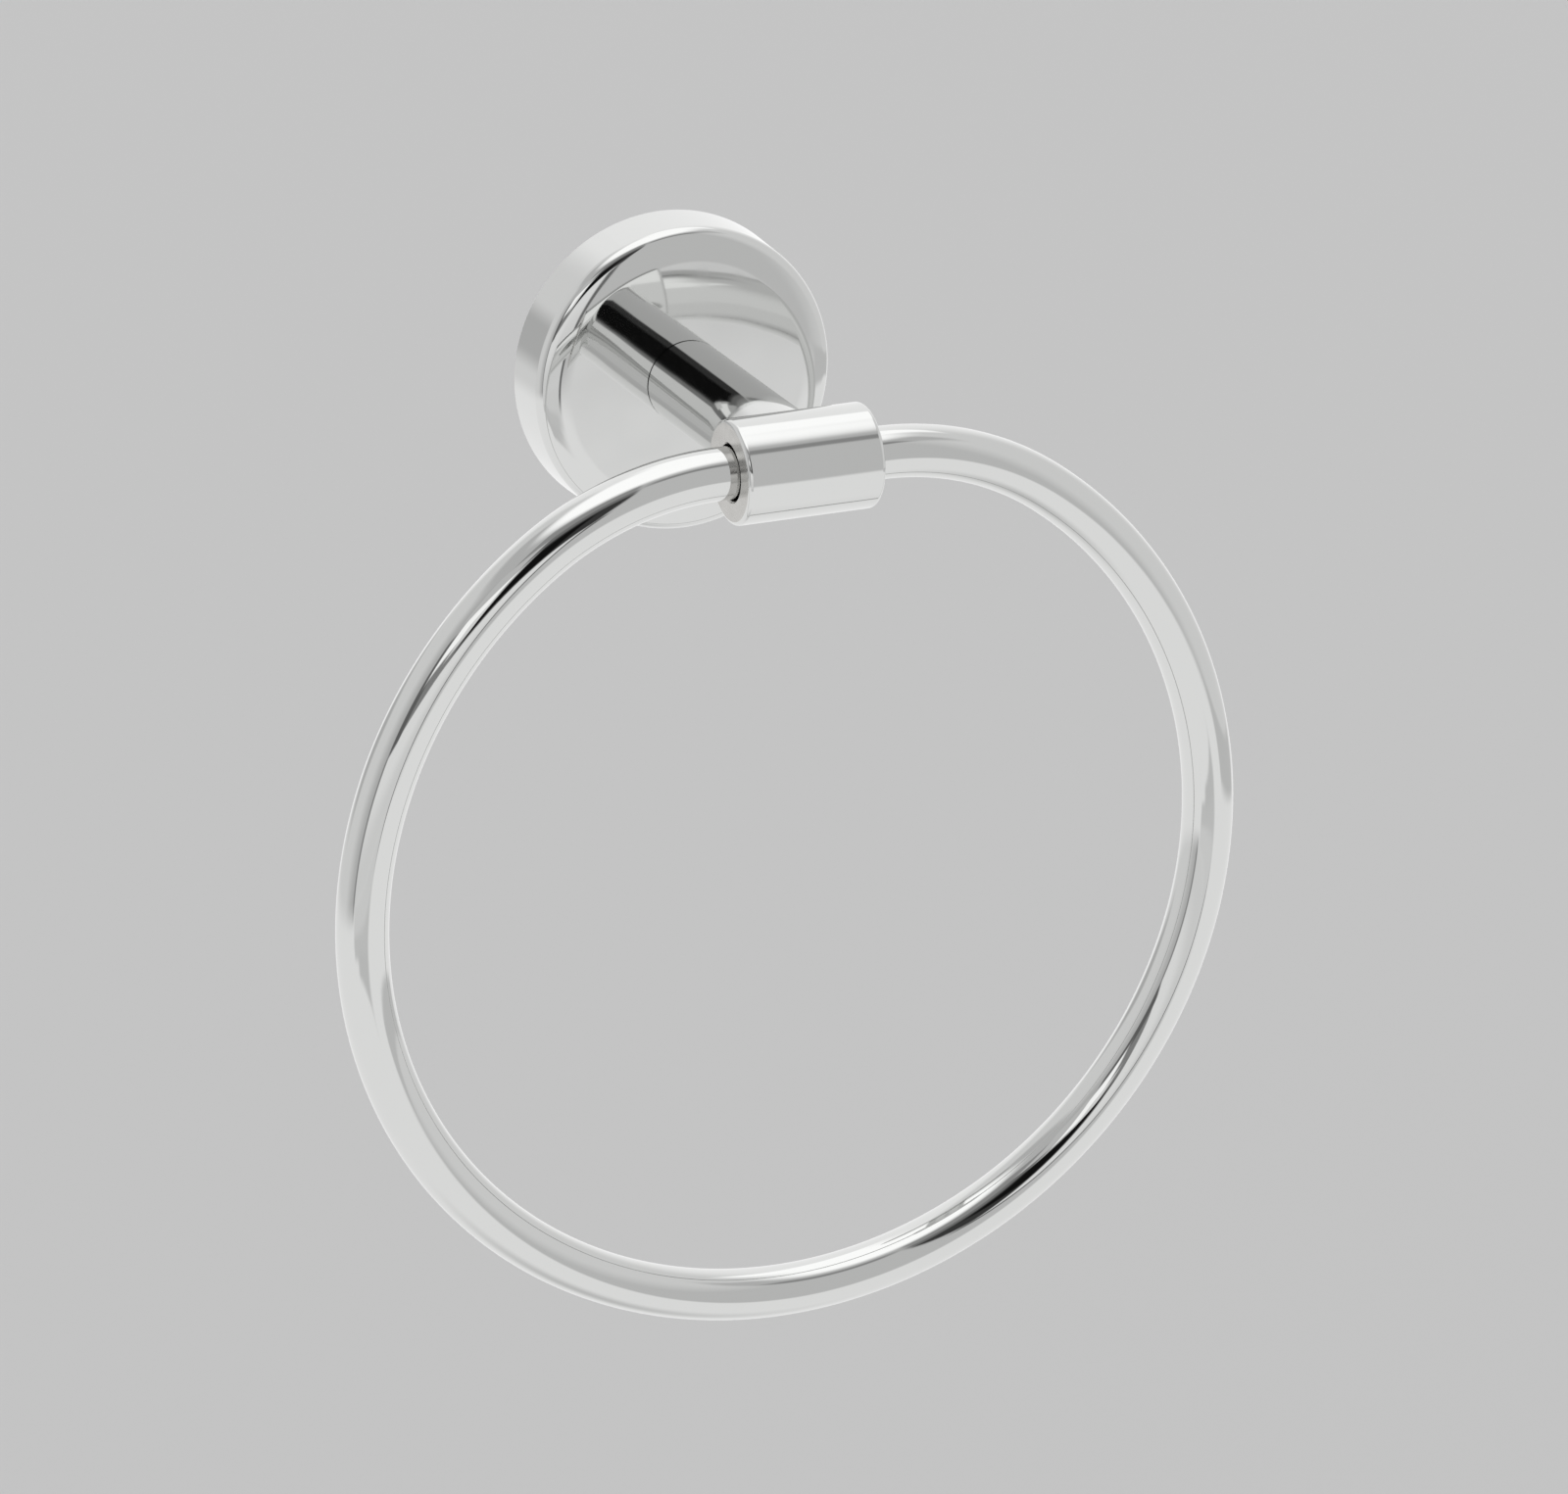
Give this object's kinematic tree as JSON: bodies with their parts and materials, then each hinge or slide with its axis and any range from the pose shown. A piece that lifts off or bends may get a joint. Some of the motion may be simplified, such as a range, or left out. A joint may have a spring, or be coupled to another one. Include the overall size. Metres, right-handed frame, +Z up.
{
  "type": "wall towel ring",
  "caption": "Wall towel ring: round rod ring hanging in the cross sleeve of a round post on a round flange with a flat face and a softly rounded edge, polished chrome, hidden fixing.",
  "frame": {"origin": "centre of the flange's back on the wall plane", "axes": "+Z up; +Y into the wall, the object reaches out towards -Y; +X along the sleeve and across the ring"},
  "size_m": [0.1664, 0.0693, 0.185],
  "materials": {
    "flange": "polished chrome plate on zinc",
    "arm": "polished chrome plate on brass",
    "ring": "polished chrome plate on brass rod",
    "wall_bracket": "zinc-plated pressed steel",
    "arm_screw": "zinc-plated steel",
    "lock_washer": "spring steel, zinc-plated",
    "set_screw": "stainless steel"
  },
  "bodies": {
    "wall_mount": {"flange": "flange", "arm": "arm", "wall_bracket": "wall_bracket", "arm_screw": "arm_screw", "lock_washer": "lock_washer", "set_screw": "set_screw"},
    "hanging_ring": {"ring": "ring"}
  },
  "joints": [
    {"name": "ring_swing", "type": "hinge", "parent": "wall_mount", "child": "hanging_ring", "pos_m": [0, -0.0603, 0], "axis": [-1, 0, 0], "range_deg": [-21, 201]}
  ]
}
